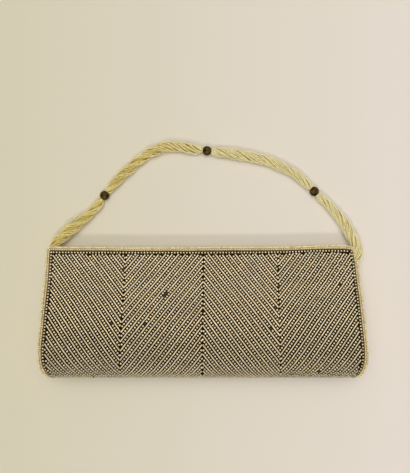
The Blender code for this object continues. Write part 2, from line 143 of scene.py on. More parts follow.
def grainFinish(name, dark, light, scale, rough, depth, metal=0.0, specular=0.5, tint=(1, 1, 1)):
    # leather, board, glass or metal: noise sets the colour, the roughness and a fine bump; on the
    # dark glass the colour's light flecks are painted glints
    finish, tree, shader = newFinish(name, rough, metal, specular=specular, tint=tint)
    grain, spread = noise(tree, scale, texture["grainDetail"]), texture["roughSpread"]
    span = addNode(tree, "MapRange", {"Value": grain, "To Min": rough * (1 - spread),
                                      "To Max": rough * (1 + spread)})
    feed(shader, {"Base Color": colourRamp(tree, grain, [(0.35, dark), (0.65, light)]),
                  "Roughness": span.outputs["Result"],
                  "Normal": bump(tree, grain, texture["grainBump"], depth)})
    return finish


finishes = {
    # beads: roughness, mottle, specular level and tint
    "coverBeads": beadFinish("herringbone glass beads", 0.3, 0.1, 0.05, (1, 0.75, 0.4)),
    "edgeBeads": beadFinish("cream edging beads", 0.32, 0.12, 0.15, (1, 0.9, 0.65)),
    "ropeBeads": beadFinish("rope seed beads", 0.36, 0.15, 0.15, (1, 0.9, 0.65)),
    # cloth: dark, light, scale of the threads, roughness, sheen, depth in m, specular level
    "darkCloth": clothFinish("near-black backing cloth", (0.025, 0.014, 0.002),
                             (0.045, 0.027, 0.004), 900, 0.9, 0.0, 0.0001, 0.0),
    "edgeTape": clothFinish("brown edge tape", (0.17, 0.11, 0.04), (0.28, 0.19, 0.08),
                            700, 0.8, 0.0, 0.0001, 0.05),
    "gussetCloth": clothFinish("cream gusset cloth", (0.44, 0.35, 0.2), (0.58, 0.48, 0.3),
                               700, 0.7, 0.2, 0.0001),
    "satin": clothFinish("champagne satin", (0.62, 0.53, 0.4), (0.74, 0.65, 0.5),
                         1400, 0.38, 0.35, 0.00005),
    # the rest: dark, light, scale of the grain, roughness, depth in m
    "board": grainFinish("grey-beige board", (0.5, 0.45, 0.38), (0.66, 0.61, 0.53),
                         260, 0.85, 0.00008),
    "leather": grainFinish("tan patch leather", (0.5, 0.38, 0.24), (0.66, 0.54, 0.37),
                           700, 0.55, 0.00012),
    "gilt": grainFinish("pale gilt", (0.62, 0.54, 0.36), (0.74, 0.67, 0.48),
                        500, 0.22, 0.00001, metal=1.0),
    "thread": grainFinish("cream sewing thread", (0.66, 0.57, 0.38), (0.8, 0.72, 0.52),
                          2400, 0.7, 0.00004),
    # dark glass: the light flecks in its colour are painted glints
    "darkGlassPaintedGlints": grainFinish("polished dark brown glass", (0.003, 0.0015, 0.0001),
                             (0.13, 0.08, 0.014), 380, 0.1, 0.0001, specular=0.1,
                             tint=(1, 0.8, 0.48)),
}


# The camera looks straight down, 650 mm over the surface.

cameraPlan = {"place": (0.0014, 0.0578, 0.650), "sensor": 36,
              "width": 0.3275}  # width seen at the surface, in m
cameraData = bpy.data.cameras.new("photo camera")
cameraData.sensor_fit = "HORIZONTAL"
cameraData.sensor_width = cameraPlan["sensor"]
cameraData.lens = cameraPlan["sensor"] * cameraPlan["place"][2] / cameraPlan["width"]
camera = linked("photo camera", cameraData)
camera.location = cameraPlan["place"]
bpy.context.scene.camera = camera
print("camera set")


# Mesh building. A skin is its points in metres, its faces' point numbers end to end, how many
# corners each face has, and the points' tones, if any.

def meshPiece(name, skin, finish, body, slot, *nodes):
    # a piece with one finish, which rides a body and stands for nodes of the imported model
    points, corners, sizes, tones = skin
    mesh = bpy.data.meshes.new(name)
    mesh.vertices.add(len(points))
    mesh.vertices.foreach_set("co", np.asarray(points, dtype=np.float32).ravel())
    mesh.loops.add(len(corners))
    mesh.loops.foreach_set("vertex_index", np.asarray(corners, dtype=np.int32))
    mesh.polygons.add(len(sizes))
    starts = np.concatenate([[0], np.cumsum(sizes)[:-1]]).astype(np.int32)
    mesh.polygons.foreach_set("loop_start", starts)
    mesh.polygons.foreach_set("use_smooth", np.full(len(sizes), True))
    mesh.update(calc_edges=True)
    if tones is not None:
        layer = mesh.color_attributes.new("tone", "FLOAT_COLOR", "POINT")
        colours = np.ones((len(points), 4), dtype=np.float32)
        colours[:, :3] = tones
        layer.data.foreach_set("color", colours.ravel())
    mesh.materials.append(finishes[finish])
    piece = linked(name, mesh)
    if body:
        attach(piece, body)
    if nodes:
        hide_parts(*nodes)
    return piece


def ringFaces(n, m, flip=False, closed=False):
    # quads between n rings of m points; the end rings are capped, or joined when closed
    ring, spot = np.meshgrid(np.arange(n if closed else n - 1), np.arange(m), indexing="ij")
    nextRing, nextSpot = (ring + 1) % n * m, (spot + 1) % m
    quads = np.stack([ring * m + spot, ring * m + nextSpot, nextRing + nextSpot, nextRing + spot],
                     axis=-1)
    faces = [quads.reshape(-1, 4)]
    if not closed:
        faces += [np.arange(m)[None, ::-1], np.arange(m)[None] + (n - 1) * m]
    return (np.concatenate([face[:, ::-1 if flip else 1].ravel() for face in faces]),
            np.concatenate([np.full(len(face), face.shape[1]) for face in faces]))


def ringsPiece(name, rings, finish, body, slot, *nodes, flip=False, closed=False):
    # a skin over rings (n, m, 3) of a closed profile carried along a path
    skin = (rings.reshape(-1, 3), *ringFaces(*rings.shape[:2], flip, closed), None)
    return meshPiece(name, skin, finish, body, slot, *nodes)


def turnedPiece(name, profile, centre, way, sides, finish, body, slot, node, closed=False):
    # a profile of (radius, height) turned about way: centre + spoke * radius + way * height
    way = unit(np.asarray(way, float))
    side = unit(np.cross(way, (0.3, 0.2, 1.0) if abs(way[2]) < 0.9 else (1.0, 0, 0)))
    turn = 2 * math.pi * np.arange(sides)[:, None] / sides
    spoke = np.cos(turn) * side + np.sin(turn) * np.cross(way, side)
    profile = np.asarray(profile, float)
    rings = np.asarray(centre) + profile[:, None, :1] * spoke + profile[:, None, 1:] * way
    return ringsPiece(name, rings, finish, body, slot, node, closed=closed)


def joined(parts):
    # several skins as one, with the point numbers moved on
    points, corners, sizes, tones = zip(*parts)
    first = np.cumsum([0] + [len(part) for part in points[:-1]])
    moved = [part + start for part, start in zip(corners, first)]
    return [np.concatenate(rows) for rows in (points, moved, sizes, tones)]


def unit(v):
    # each vector over its own length
    return v / np.linalg.norm(v, axis=-1, keepdims=True)


def distances(line):
    # how far along the line each of its points lies
    return np.concatenate([[0], np.cumsum(np.linalg.norm(np.diff(line, axis=0), axis=1))])


def readOff(at, gone, rows):
    # rows of numbers known at the distances gone, read off at other distances
    return np.stack([np.interp(at, gone, column) for column in rows.T], axis=1)


def eased(share):
    # a soft step from 0 to 1: share^2 * (3 - 2 * share)
    share = np.clip(share, 0, 1)
    return share * share * (3 - 2 * share)


def jitter(count, spread):
    # random numbers, spread evenly to both sides of 0
    return dice.uniform(-spread, spread, count)


# A bead is turned about its thread: (share along the thread, share of the radius) at each ring.

beadForms = {
    "small": {"sides": 6, "rings": [(-0.5, 0.6), (0.0, 1.0), (0.5, 0.6)]},
    "bugle": {"sides": 6, "rings": [(-0.5, 0.72), (-0.46, 1.0), (0.46, 1.0), (0.5, 0.72)]},
    "stitch": {"sides": 6, "rings": [(-0.36, 0.5), (-0.25, 1.0), (0.25, 1.0), (0.36, 0.5)]},
    "seed": {"sides": 8, "rings": [(-0.5, 0.5), (-0.36, 0.88), (0.0, 1.0), (0.36, 0.88),
                                   (0.5, 0.5)]},
}
stringing = {"uneven": 0.04, "sizes": 0.07}  # how far beads stray along the thread, and in size


def beads(form, centres, along, up, lengths, radii, tones):
    # point = centre + thread * length * share + (across * cos a + up * sin a) * radius * share
    rings, m = np.array(beadForms[form]["rings"]), beadForms[form]["sides"]
    turn = 2 * math.pi * (np.arange(m) + 0.5) / m
    along = unit(along)
    across = unit(np.cross(up, along))
    up = np.cross(along, across)
    count, n = len(centres), len(rings)
    lengths = np.broadcast_to(lengths, (count,))
    spoke = (across[:, None, :] * np.cos(turn)[None, :, None]
             + up[:, None, :] * np.sin(turn)[None, :, None])
    points = (centres[:, None, None, :]
              + along[:, None, None, :] * (lengths[:, None] * rings[:, 0])[:, :, None, None]
              + spoke[:, None, :, :] * (radii[:, None] * rings[:, 1])[:, :, None, None])
    corners, sizes = ringFaces(n, m, flip=True)
    corners = (corners + (np.arange(count) * n * m)[:, None]).ravel()
    return points.reshape(-1, 3), corners, np.tile(sizes, count), np.repeat(tones, n * m, axis=0)


def strandBeads(line, out, radius, pitch, tones, form="small", fill=0.97):
    # beads strung along a line at an even pitch, facing out; fill is a bead's share of the pitch
    gone, out = distances(line), np.broadcast_to(out, line.shape)
    at = np.arange(pitch / 2, gone[-1], pitch)
    at = np.clip(at + jitter(len(at), pitch * stringing["uneven"]), 0, gone[-1])
    way = readOff(at, gone, np.gradient(line, gone, axis=0))
    size = np.interp(at, gone, np.broadcast_to(radius, gone.shape))
    size = size * (1 + jitter(len(at), stringing["sizes"]))
    return beads(form, readOff(at, gone, line), way, unit(readOff(at, gone, out)), pitch * fill,
                 size, tones(len(at)))


# The handle: three bundles of bead strands, twisted together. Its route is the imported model's.

rope = {
    # x, y, z of the middle, and the half width and half height there
    "stops": np.array([
        (-118.0, 41.5, 9.0, 2.9, 2.9), (-117.9, 47.4, 9.0, 5.9, 3.1),
        (-115.0, 53.4, 9.0, 6.3, 3.4), (-106.0, 61.6, 7.4, 5.2, 3.9),
        (-96.2, 70.0, 5.4, 4.3, 3.9), (-86.5, 79.3, 4.4, 4.0, 3.9),
        (-78.3, 90.4, 4.25, 4.2, 4.1), (-60.8, 109.3, 4.25, 4.5, 4.1),
        (-43.4, 123.4, 4.25, 4.6, 4.1), (-28.0, 129.0, 4.25, 4.8, 4.1),
        (-13.7, 128.0, 4.25, 4.7, 4.1), (3.0, 125.8, 4.25, 4.5, 4.1),
        (22.1, 123.4, 4.25, 4.6, 4.1), (39.8, 120.5, 4.25, 4.6, 4.1),
        (57.9, 114.9, 4.25, 4.3, 4.1), (76.0, 104.9, 4.25, 4.1, 4.1),
        (88.1, 93.6, 4.25, 4.1, 4.1), (100.3, 81.7, 4.5, 4.0, 3.9),
        (111.6, 68.3, 5.9, 4.7, 3.9), (116.9, 58.2, 8.2, 6.0, 3.9),
        (119.0, 53.9, 9.0, 6.2, 3.8), (121.0, 48.2, 9.0, 5.6, 3.7),
        (121.4, 42.2, 9.0, 4.2, 3.4), (119.0, 36.2, 9.0, 3.2, 2.9),
        (116.8, 29.8, 9.0, 2.9, 2.9)]) * mm,
    "accents": (6, 11, 16), "step": 0.25 * mm,
    "pinch": np.array([(3.3, 1.25), (4.2, 2.8), (9, 4.7)]) * mm,  # radius, so far from a dark bead
    "bundles": 3, "strands": 6, "turning": (105 * mm, 175 * mm),  # where the lay changes
    "bundleTwist": (38 * mm, 56 * mm), "strandTwist": (60 * mm, 210 * mm), "gather": (0.5, 0.2),
    "coreSides": 10, "coreShare": 0.6, "corePaintedShade": 0.8, "least": 0.1 * mm,
    "beadRadius": 0.66 * mm, "beadPitch": 1.22 * mm, "fullHeight": 2.9 * mm, "smallest": 0.75,
    "wander": 0.22 * mm, "wanderHeight": 4 * mm, "wanderWave": (2.2 * mm, 4.2 * mm),
    "cream": ((0.95, 0.81, 0.35), (1.0, 0.91, 0.55)),  # on the left, and on the right
    "straw": ((0.60, 0.46, 0.12), (0.80, 0.69, 0.33)),
    "loose": [(10, 53, 6.5), (12, 47, 5.4), (9, 40, 4.7)],  # start, end and reach of a strand, mm
    "looseDrop": 1.8 * mm, "looseBead": 0.8,
}


def smoothLine(stops, step):
    # cubic between stops; the slope at a stop is taken across its neighbours
    at = distances(stops)
    slopes = np.gradient(stops, at, axis=0)
    t = np.linspace(0, at[-1], int(at[-1] / step) + 1)
    k = np.clip(np.searchsorted(at, t, side="right") - 1, 0, len(stops) - 2)
    gap = (at[k + 1] - at[k])[:, None]
    u = ((t - at[k]) / gap[:, 0])[:, None]
    line = ((1 + 2 * u) * (1 - u) ** 2 * stops[k] + u * u * (3 - 2 * u) * stops[k + 1]
            + u * (1 - u) ** 2 * gap * slopes[k] + u * u * (u - 1) * gap * slopes[k + 1])
    gone = distances(line)
    return line, gone, np.interp(at, t, gone)


ropeLine, ropeGone, ropeMarks = smoothLine(rope["stops"][:, :3], rope["step"])


def ropeSize(s):
    # half width and half height between the stops, drawn in at each dark bead
    size = np.stack([np.interp(s, ropeMarks, rope["stops"][:, k]) for k in (3, 4)])
    for mark in ropeMarks[list(rope["accents"])]:
        size = np.minimum(size, np.interp(np.abs(s - mark), *rope["pinch"].T))
    return size


def ropeFrame(s):
    # the middle of the rope, its direction, and sideways and upwards from it
    centre = readOff(s, ropeGone, ropeLine)
    way = unit(readOff(s, ropeGone, np.gradient(ropeLine, ropeGone, axis=0)))
    side = unit(np.cross(np.array([0, 0, 1.0]), way))
    return centre, way, side, np.cross(way, side)


def makeRope():
    # strand = middle + gather * (wide cos t, tall sin t) + rest * (wide cos u, tall sin u), where t
    # turns with the bundle, u with the strand in it, and rest is what gather leaves of the size
    s = ropeGone[::2]
    centre, _, side, up = ropeFrame(s)
    wide, tall = ropeSize(s)
    bead = rope["beadRadius"] * np.clip(tall / rope["fullHeight"], rope["smallest"], 1)
    late = eased((s - rope["turning"][0]) / (rope["turning"][1] - rope["turning"][0]))
    between = lambda key: rope[key][0] + (rope[key][1] - rope[key][0]) * late
    turned = lambda key: 2 * math.pi * np.cumsum(np.gradient(s) / between(key))
    bundleTurn, strandTurn, gather = turned("bundleTwist"), turned("strandTwist"), between("gather")

    def oval(turn, x, z):
        # side * x cos turn + up * z sin turn
        return side * (np.cos(turn) * x)[:, None] + up * (np.sin(turn) * z)[:, None]

    def strandTonesWithCreaseShade(deep):
        # deep runs from -1 in the creases to 1 on the outside of a bundle; beads are painted
        # towards straw the deeper they lie, as painted crease shade
        shade = dice.uniform(-0.25, 0.25)

        def tones(n):
            at = np.linspace(0, 1, n)
            right = np.interp(at, s / s[-1], late)[:, None]
            out = np.interp(at, s / s[-1], deep)
            cream, straw = (np.array(rope[key][0]) * (1 - right) + np.array(rope[key][1]) * right
                            for key in ("cream", "straw"))
            # painted crease shade: the deeper a bead lies, the nearer straw; a per-strand offset
            # and the jitter vary the tone at random
            share = np.clip(0.6 + 0.4 * out + shade + jitter(n, 0.2), 0, 1)[:, None]
            return (straw + (cream - straw) * share) * (1 + jitter(n, 0.06))[:, None]
        return tones

    # a core tube fills the gaps between the strands; its colour, straw darkened further, is painted
    # shade deep in the rope
    ring = (2 * math.pi * np.arange(rope["coreSides"]) / rope["coreSides"])[:, None]
    core = centre[:, None] + rope["coreShare"] * (
        side[:, None] * np.cos(ring) * wide[:, None, None]
        + up[:, None] * np.sin(ring) * tall[:, None, None])
    parts = [(core.reshape(-1, 3), *ringFaces(*core.shape[:2], flip=True),
              np.tile(np.array(rope["straw"][0]) * rope["corePaintedShade"], (core.size // 3, 1)))]
    for j in range(rope["bundles"]):
        turn = bundleTurn + 2 * math.pi * j / rope["bundles"]
        middle = centre + oval(turn, wide * gather, tall * gather)
        for k in range(rope["strands"]):
            spin = turn + strandTurn + 2 * math.pi * k / rope["strands"]
            rest = [np.maximum(size * (1 - gather) - bead, rope["least"]) for size in (wide, tall)]
            stray = rope["wander"] * np.clip(tall / rope["wanderHeight"], 0, 1) ** 3
            stray = stray * np.sin(s / dice.uniform(*rope["wanderWave"]) + dice.uniform(0, 6))
            line = middle + oval(spin, *rest) + side * stray[:, None]
            parts.append(strandBeads(line, oval(spin, 1, 1), bead, rope["beadPitch"],
                                     strandTonesWithCreaseShade(np.cos(spin - turn))))
    for start, end, reach in rope["loose"]:
        hump = np.sin(math.pi * np.clip((s / mm - start) / (end - start), 0, 1))
        part = (s > start * mm) & (s < end * mm)
        line = centre + side * (hump * reach * mm)[:, None]
        line[:, 2] -= hump * rope["looseDrop"]
        parts.append(strandBeads(line[part], up[part], bead[part] * rope["looseBead"],
                                 rope["beadPitch"], strandTonesWithCreaseShade(np.zeros(len(s)))))
    piece = meshPiece("ropeHandle", joined(parts), "ropeBeads", None, "rope_beads",
                      "handle_rope", "handle_rope_end_left", "handle_rope_end_right")
    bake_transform(piece)
    tuple(centre[0])
    [tuple(p) for p in centre[::8]]
    makeAccents()
    return piece


accent = {"radius": 3.8 * mm, "bore": 1.45 * mm, "lip": 0.25 * mm, "rings": 41, "sides": 48,
          # how far the lip stands off the bore, and off the ball's end
          "lipCurve": np.array([(0.07, -0.05), (0, -0.3)]) * mm}


def makeAccents():
    # a ball cut off at its hole, with a rounded lip, turned about the rope's line
    rim = math.asin((accent["bore"] + accent["lip"]) / accent["radius"])
    angle = np.linspace(rim, math.pi - rim, accent["rings"])
    ball = np.stack([np.sin(angle), np.cos(angle)], axis=1) * accent["radius"]
    lip = (accent["bore"], ball[0, 1]) + accent["lipCurve"]
    profile = np.concatenate([ball[::-1], lip, lip[::-1] * (1, -1)])
    made = []
    for word, mark in zip(("left", "middle", "right"), rope["accents"]):
        centre, way, _, _ = ropeFrame(ropeMarks[mark:mark + 1])
        made.append(turnedPiece("accentBead" + word.title(), profile, centre[0], way[0],
                                accent["sides"], "darkGlassPaintedGlints", "handle", "dark_bead",
                                f"accent_bead_{word}", closed=True))
    return made


whipping = {"gap": 0.3 * mm, "length": 5 * mm, "start": 2.9 * mm, "tip": 1.6 * mm,
            "threads": 9, "thread": 0.16 * mm, "sides": 28}


def makeWhipping(word, place, way):
    # wound thread: radius tapers from start to tip, with one round ridge to each turn
    share = np.linspace(0, 1, whipping["threads"] * 10 + 1)
    ridge = np.abs(np.sin(math.pi * whipping["threads"] * share)) ** 0.6
    radius = (whipping["start"] + (whipping["tip"] - whipping["start"]) * share
              + whipping["thread"] * (ridge - 1))
    profile = np.stack([radius, whipping["gap"] + whipping["length"] * share], axis=1)
    turnedPiece("whipping" + word.title(), profile, place, way, whipping["sides"], "thread",
                "front", "whipping_thread", f"handle_whipping_{word}")


ropePiece = makeRope()
makeWhipping("left", ropeLine[0], ropeLine[0] - ropeLine[1])
makeWhipping("right", ropeLine[-1], ropeLine[-1] - ropeLine[-2])
print("rope made:", len(ropePiece.data.polygons), "faces")


# The body. Both panels follow one rounded path: down the front, round the base and up the back.

bag = {
    "corners": [(50, 18, 0), (26, 18, 40), (-50, 44, 14), (-50, 0, 12), (50, 0, 0)],  # y, z, radius
    "height": 100 * mm, "mouthWidth": 244 * mm, "widest": 250 * mm, "mouthDepth": 18 * mm,
    "cornerHeight": 24 * mm, "cornerInset": 7 * mm, "fit": 0.3 * mm,
    "coverThick": 1.8 * mm, "boardDepth": 2.1 * mm, "boardThick": 1.0 * mm,
    "liningDepth": 3.4 * mm, "panelThick": 3.9 * mm, "wrap": 1.3 * mm,
    "topEdge": 3.1 * mm, "sideEdge": 3.1 * mm, "frontBend": -32.5 * mm, "backBoardEnd": -38 * mm,
    "pull": 3.9 * mm,  # how far the handle draws the mouth's right corner in
    "swell": 0.7 * mm,  # how far the left side bulges at half its height
    "puff": 1.4 * mm,  # how much more the cover's face stands out round the base
    # x, and how far off its straight line the mouth's edge lies; the sag fades between two heights
    "sag": np.array([(-122, 0.1), (-97, -0.2), (0, -0.3), (35, -0.1), (65, 0.3), (90, 1.3),
                     (112, 1.2), (118, 0.6), (122, -0.4)]) * mm, "sagFrom": 20 * mm,
    "sagOver": 30 * mm,
    "sheetStep": 1.5 * mm, "sheetColumns": 61, "rippleWave": 5.5 * mm, "rippleBend": 17 * mm,
}


def roundedPath(corners):
    # straight runs joined by arcs: centre + (sin a, -cos a) * radius, the normal pointing out
    spots = np.array([corner[:2] for corner in corners], float) * mm
    ways = unit(np.diff(spots, axis=0))
    normals = np.stack([ways[:, 1], -ways[:, 0]], axis=1)
    rows, bends = [np.concatenate([spots[0], normals[0]])[None]], []
    for k in range(1, len(spots) - 1):
        before, after, radius = ways[k - 1], ways[k], corners[k][2] * mm
        turn = math.atan2(before[0] * after[1] - before[1] * after[0], before @ after)
        outward = math.copysign(radius, turn)
        start = spots[k] - before * radius * math.tan(abs(turn) / 2)
        angle = math.atan2(before[1], before[0]) + turn * np.linspace(0, 1, 25)
        normal = np.stack([np.sin(angle), -np.cos(angle)], axis=1)
        rows.append(np.hstack([start - normals[k - 1] * outward + normal * outward, normal]))
        bends.append(sum(len(row) for row in rows) - 1)
    rows.append(np.concatenate([spots[-1], normals[-1]])[None])
    rows = np.vstack(rows)
    gone = distances(rows[:, :2])
    return gone, rows, gone[bends[1]]


pathGone, pathRows, pathSeam = roundedPath(bag["corners"])
pathEnd, topY = pathGone[-1], bag["height"] / 2
frontEnd, rearStart = pathSeam - bag["fit"] / 2, pathSeam + bag["fit"] / 2


def halves(margin):
    # each panel's name, its stretch of the path, which keeps a margin from the mouth, and its body
    return ("front", margin, frontEnd, "front"), ("rear", rearStart, pathEnd - margin, "root")


def onPath(s):
    # y, z and the outward normal at distances down the path
    return [np.interp(s, pathGone, pathRows[:, k]) for k in range(4)]


def halfWidth(y):
    # straight sides, then a quarter ellipse at each lower corner
    above = y + topY - bag["cornerHeight"]
    share = above / (bag["height"] - bag["cornerHeight"])
    straight = (bag["widest"] + (bag["mouthWidth"] - bag["widest"]) * share) / 2
    drop = np.clip(-above / bag["cornerHeight"], 0, 1)
    rounded = bag["widest"] / 2 - bag["cornerInset"] * (1 - np.sqrt(1 - drop * drop))
    return np.where(above >= 0, straight, rounded)


def settled(x, y, z):
    # the soft body as it lies: pull * (height share)^5 * (share of the half width)^4 inwards at
    # the mouth's right corner, swell * 4 h (1 - h) outwards on the left, and the mouth's sag
    x, y, z = np.broadcast_arrays(x, y, z)
    share = np.clip(y / bag["height"] + 0.5, 0, 1)
    across = np.clip(x / halfWidth(y), -1, 1)
    pull = bag["pull"] * share ** 5 * np.maximum(across, 0) ** 4
    swell = bag["swell"] * 4 * share * (1 - share) * np.minimum(across, 0) ** 4
    sag = np.interp(x, *bag["sag"].T) * eased((y - bag["sagFrom"]) / bag["sagOver"])
    return np.stack([x - pull - swell, y + sag, z], axis=-1)


def panelPoint(x, s, depth):
    # depth inwards from the path; round the base, where the normal's y is negative, the cover
    # stands out by puff * ny^2 * (1 - depth / the cover's thickness)
    y, z, ny, nz = onPath(s)
    out = bag["puff"] * np.clip(-ny, 0, 1) ** 2
    out = out * np.clip(1 - depth / bag["coverThick"], 0, 1) - depth
    return settled(x, y + out * ny, z + out * nz)


def panelNormal(s):
    # the path's own normal, with nothing of it along x
    _, _, ny, nz = onPath(s)
    return np.stack([np.zeros_like(ny), ny, nz], axis=-1)


def panelSheet(name, start, end, inset, outer, inner, finish, body, slot, node, wave=0.0):
    # a sheet between two depths of the panel; each ring goes over its outer face and back inside
    s = np.linspace(start, end, max(12, int((end - start) / bag["sheetStep"])))
    share = np.linspace(-1, 1, bag["sheetColumns"])
    x = (halfWidth(onPath(s)[0]) - inset)[:, None] * share
    s = s[:, None]
    ripple = wave * np.sin(x / bag["rippleWave"] + 3 * np.sin(s / bag["rippleBend"]))
    faces = [panelPoint(x, s, outer), panelPoint(x, s, inner + ripple * (1 - share ** 8))]
    rings = np.concatenate([faces[0], faces[1][:, ::-1]], axis=1)
    ringsPiece(name, rings, finish, body, slot, node, flip=True)


# The beaded covers: zigzag rows, by turns a solid light line and a dotted one, with dark between.

cover = {
    "start": 5.9 * mm, "inset": 5.5 * mm,  # where the zigzag starts, from the mouth and the sides
    "seam": 0.7 * mm,  # and how far from the seam in the base's front edge it stops
    "valleyLeft": -60.2 * mm, "peak": 0.5 * mm, "valleyRight": 58.0 * mm,
    "drift": -1.1 * mm, "driftOver": 70 * mm,
    "across": 5.16 * mm, "phase": 40.1 * mm, "pitch": 1.09 * mm, "cellsPerPitch": 1.66,
    "rowsAt": np.array([0, 18, 33, 49, 64, 79, 89, 120]) * mm,  # down the path from the mouth
    "rowGap": np.array([6.4, 6.48, 6.52, 7.09, 7.37, 7.28, 6.99, 6.9]) * mm,  # one row to the next
    "rowStep": 0.5 * mm, "rowWander": 0.1 * mm, "beadWander": 0.06 * mm,
    "lightRadius": 0.7 * mm, "darkRadius": 0.48 * mm, "bugleRadius": 0.54 * mm,
    "depth": 0.72 * mm, "darkDepth": 1.0 * mm, "clothDepth": 0.85 * mm, "bugleBeads": 5,
    "dotRow": 4.2 * mm, "dotDown": 1.1 * mm, "dotShort": 1.2 * mm,
    "light": (1.0, 0.87, 0.61), "bugle": (0.92, 0.79, 0.52), "dark": (0.016, 0.008, 0.001),
    "paintedShade": np.array([(0, 1.0), (60, 1.0), (80, 0.86), (96, 0.8), (105, 0.62), (120, 0.55),
                      (150, 0.8)]),  # mm down the path, and how bright the beads are there; the darkening is painted shade, darkest round the base
}
rowSteps = np.arange(-10 * mm, pathEnd + 10 * mm, cover["rowStep"])
rowTurns = np.cumsum(cover["rowStep"] / np.interp(rowSteps, cover["rowsAt"], cover["rowGap"]))
rowTurns -= np.interp(cover["phase"], rowSteps, rowTurns)


def coverX(x, y):
    # the zigzag's lines lean with the bag's sides, and drift a little to the left
    down = np.clip((topY - y) / cover["driftOver"], 0, 1)
    spread = (bag["widest"] - bag["mouthWidth"]) / bag["mouthWidth"]
    return x * (1 + spread * down) + cover["drift"] * down


def lightTones(s, tone, spread=0.16, odd=0.002):
    # mostly near the tone, painted darker towards the base as painted shade, and a few beads darker
    count = len(s)
    shadeAndScatter = np.interp(s / mm, *cover["paintedShade"].T) * (1 + jitter(count, spread))
    tones = np.array(tone) * shadeAndScatter[:, None]
    tones[:, 2] *= 1 + jitter(count, 0.08)
    return np.where((dice.random(count) < odd)[:, None], tones * 0.1, tones)


def zoneCells(start, end, zigStart, way, sRange):
    # x runs from start to end, zig = zigStart + way * |x|, and a row lies where the turns down
    # the path are row / 4 + zig / across; each row's cells start at their own place
    step = cover["pitch"] / cover["cellsPerPitch"]
    span, hand = abs(end - start), math.copysign(1, end - start)
    turns = np.interp(sRange, rowSteps, rowTurns)
    reach = np.array([zigStart, zigStart + way * span]) / cover["across"]
    rows = np.arange(math.floor(4 * (turns[0] - reach.max())),
                     math.ceil(4 * (turns[1] - reach.min())) + 1)
    row, cell = np.meshgrid(rows, np.arange(int(span / step) + 3), indexing="ij")
    along = (cell + dice.uniform(-2, 0, len(rows))[:, None]) * step
    s = np.interp(row / 4 + (zigStart + way * along) / cover["across"], rowTurns, rowSteps)
    s = s + jitter(len(rows), cover["rowWander"])[:, None]
    y = onPath(s)[0]
    x = coverX(start + hand * along, y)
    keep = ((along > 0.3 * step) & (along < span) & (s > sRange[0]) & (s < sRange[1])
            & (np.abs(x) < halfWidth(y) - cover["inset"]))
    slope = np.interp(s, cover["rowsAt"], cover["rowGap"]) / cover["across"] * hand * way
    return row[keep], cell[keep], x[keep], s[keep], slope[keep]


def longBeads(row, cell, x, s, along, depth, radius, tone, spread, odd):
    # a row's cells, five by five, become one long bead each, and the fives shift from row to row
    order = np.lexsort((cell, row))
    row, cell, x, s, along = (each[order] for each in (row, cell, x, s, along))
    key = row.astype(np.int64) * 4096 + (cell + row * 7) // cover["bugleBeads"]
    _, first, count = np.unique(key, return_index=True, return_counts=True)
    centres = panelPoint(x, s, depth)
    head, tail, total = centres[first], centres[first + count - 1], len(first)
    lengths = np.linalg.norm(tail - head, axis=1) + cover["pitch"] * 0.92
    return beads("bugle", (head + tail) / 2, along[first] + dice.normal(0, 0.015, (total, 3)),
                 panelNormal(s)[first], lengths, radius * (1 + jitter(total, 0.06)),
                 lightTones(s[first], tone, spread, odd))


def coverBeads(name, zone, sRange, body):
    # by row number: 0 the solid light line, 1 and 3 dark, and 2 the dotted one
    row, cell, x, s, slope = zoneCells(*zone, sRange)
    _, _, ny, nz = onPath(s)
    along = unit(np.stack([np.ones(len(s)), -nz * slope, ny * slope], axis=1))
    kind = row % 4
    parts = []
    for k, depth, word, odd in ((0, "depth", "bugle", 0.0007), (1, "darkDepth", "dark", 0),
                                (3, "darkDepth", "dark", 0)):
        one = kind == k
        parts.append(longBeads(row[one], cell[one], x[one], s[one], along[one], cover[depth],
                               cover[word + "Radius"], cover[word], 0.1, odd))
    for k, form, depth, word, length, spread, odd in (
            (0, "seed", "depth", "light", 1.2, 0.14, 0.002),
            (1, "small", "darkDepth", "dark", 0.8, 0.3, 0)):
        one = (kind == 2) & (cell % 2 == k)
        count = int(one.sum())
        spots = panelPoint(x[one] + jitter(count, cover["beadWander"]),
                           s[one] + jitter(count, cover["beadWander"]), cover[depth])
        parts.append(beads(form, spots, along[one] + dice.normal(0, 0.06, (count, 3)),
                           panelNormal(s[one]), cover["pitch"] * length,
                           cover[word + "Radius"] * (1 + jitter(count, 0.07)),
                           lightTones(s[one], cover[word], spread, odd)))
    meshPiece(name, joined(parts), "coverBeads", body, "beaded_cloth")


def dotLine(name, lines, body):
    # light and dark beads by turns along lines of panel places (x, s)
    parts = []
    for x, s in lines:
        def tones(n):
            turn, at = (np.arange(n) % 2 == 0)[:, None], np.linspace(s[0], s[-1], n)
            return np.where(turn, lightTones(at, cover["light"]), np.array(cover["dark"]))

        parts.append(strandBeads(panelPoint(x, s, cover["depth"]), panelNormal(s),
                                 cover["lightRadius"], cover["pitch"] * 1.08, tones))
    meshPiece(name, joined(parts), "coverBeads", body, "beaded_cloth")


